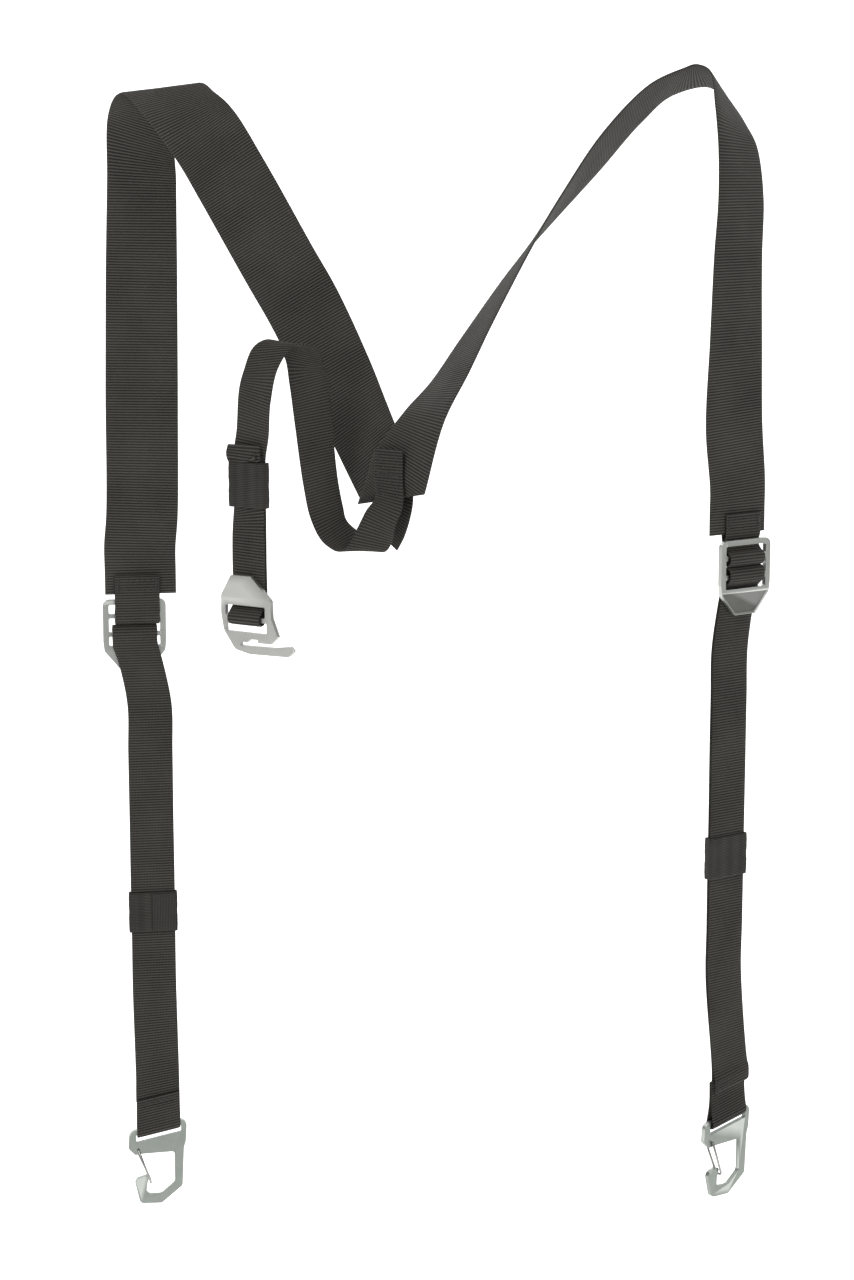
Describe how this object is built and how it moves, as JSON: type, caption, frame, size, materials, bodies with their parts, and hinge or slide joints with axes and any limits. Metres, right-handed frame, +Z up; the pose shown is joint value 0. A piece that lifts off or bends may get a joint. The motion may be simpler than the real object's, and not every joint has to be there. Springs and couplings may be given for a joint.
{
  "type": "trouser braces",
  "caption": "Y-back trouser braces: wide webbing shoulder straps, adjustable front straps with ladder locks and wire-gate carabiners, and a back strap with a G-hook.",
  "frame": {"origin": "the height at which the shoulders carry the straps, midway between them", "axes": "+Z up; +X to the right when seen from behind the wearer, which is the wearer's right; +Y towards the wearer's front"},
  "size_m": [0.3697, 0.165, 0.6491],
  "materials": {
    "webbing": "ribbed dark olive-grey polyester webbing, dull",
    "thread": "black sewing thread",
    "satin_aluminium": "tumbled, satin, edges a little brighter",
    "polished_wire": "bright drawn wire"
  },
  "bodies": {
    "straps": {"shoulder_strap_left": "webbing", "shoulder_strap_right": "webbing", "back_strap": "webbing", "join_under_tail": "webbing", "patch_stitching": "thread", "join_bartack": "thread", "tab_loop_left": "webbing", "tab_loop_right": "webbing", "tab_stitching_left": "thread", "tab_stitching_right": "thread"},
    "lock_left": {"ladder_lock_left": "satin_aluminium"},
    "lock_right": {"ladder_lock_right": "satin_aluminium"},
    "front_left": {"front_strap_left": "webbing", "loop_stitching_left": "thread"},
    "front_right": {"front_strap_right": "webbing", "loop_stitching_right": "thread"},
    "keeper_left": {"keeper_left": "webbing"},
    "keeper_right": {"keeper_right": "webbing"},
    "keeper_back": {"keeper_back": "webbing"},
    "carabiner_left": {"carabiner_left": "satin_aluminium"},
    "carabiner_right": {"carabiner_right": "satin_aluminium"},
    "gate_left": {"wire_gate_left": "polished_wire"},
    "gate_right": {"wire_gate_right": "polished_wire"},
    "hook": {"g_hook": "satin_aluminium"}
  },
  "joints": [
    {"name": "lock_left_tilt", "type": "hinge", "parent": "straps", "child": "lock_left", "pos_m": [-0.1706, 0.048, -0.2956], "axis": [-0.9848, -0.1736, 0], "range_deg": [-3, 20]},
    {"name": "front_left_swing", "type": "hinge", "parent": "lock_left", "child": "front_left", "pos_m": [-0.1706, 0.048, -0.306], "axis": [-0.9848, -0.1736, 0], "range_deg": [0, 25]},
    {"name": "keeper_left_slide", "type": "slide", "parent": "front_left", "child": "keeper_left", "axis": [0, 0, 1], "range_m": [-0.028, 0.07]},
    {"name": "carabiner_left_swing", "type": "hinge", "parent": "front_left", "child": "carabiner_left", "pos_m": [-0.16163, 0.04435, -0.596], "axis": [0.9657, 0.1703, 0.1961], "range_deg": [-60, 60]},
    {"name": "gate_left_open", "type": "hinge", "parent": "carabiner_left", "child": "gate_left", "pos_m": [-0.17453, 0.04208, -0.6076], "axis": [0.1736, -0.9848, 0], "range_deg": [0, 28], "stiffness_Nm_per_rad": 0.05, "springref_deg": -11.46},
    {"name": "lock_right_tilt", "type": "hinge", "parent": "straps", "child": "lock_right", "pos_m": [0.1663, -0.004, -0.2546], "axis": [0.809, 0.5878, 0], "range_deg": [-3, 20]},
    {"name": "front_right_swing", "type": "hinge", "parent": "lock_right", "child": "front_right", "pos_m": [0.1663, -0.004, -0.265], "axis": [0.809, 0.5878, 0], "range_deg": [0, 25]},
    {"name": "keeper_right_slide", "type": "slide", "parent": "front_right", "child": "keeper_right", "axis": [0, 0, 1], "range_m": [-0.026, 0.07]},
    {"name": "carabiner_right_swing", "type": "hinge", "parent": "front_right", "child": "carabiner_right", "pos_m": [0.16287, -0.00013, -0.573], "axis": [0.7933, 0.5764, 0.1961], "range_deg": [-60, 60]},
    {"name": "gate_right_open", "type": "hinge", "parent": "carabiner_right", "child": "gate_right", "pos_m": [0.15227, -0.00783, -0.5846], "axis": [0.5878, -0.809, 0], "range_deg": [0, 28], "stiffness_Nm_per_rad": 0.05, "springref_deg": -11.46},
    {"name": "keeper_back_slide", "type": "slide", "parent": "straps", "child": "keeper_back", "axis": [0, 0, 1], "range_m": [-0.03, 0]},
    {"name": "hook_tilt", "type": "hinge", "parent": "straps", "child": "hook", "pos_m": [-0.097, -0.095, -0.2735], "axis": [0.848, -0.5299, 0], "range_deg": [-1, 60]}
  ]
}
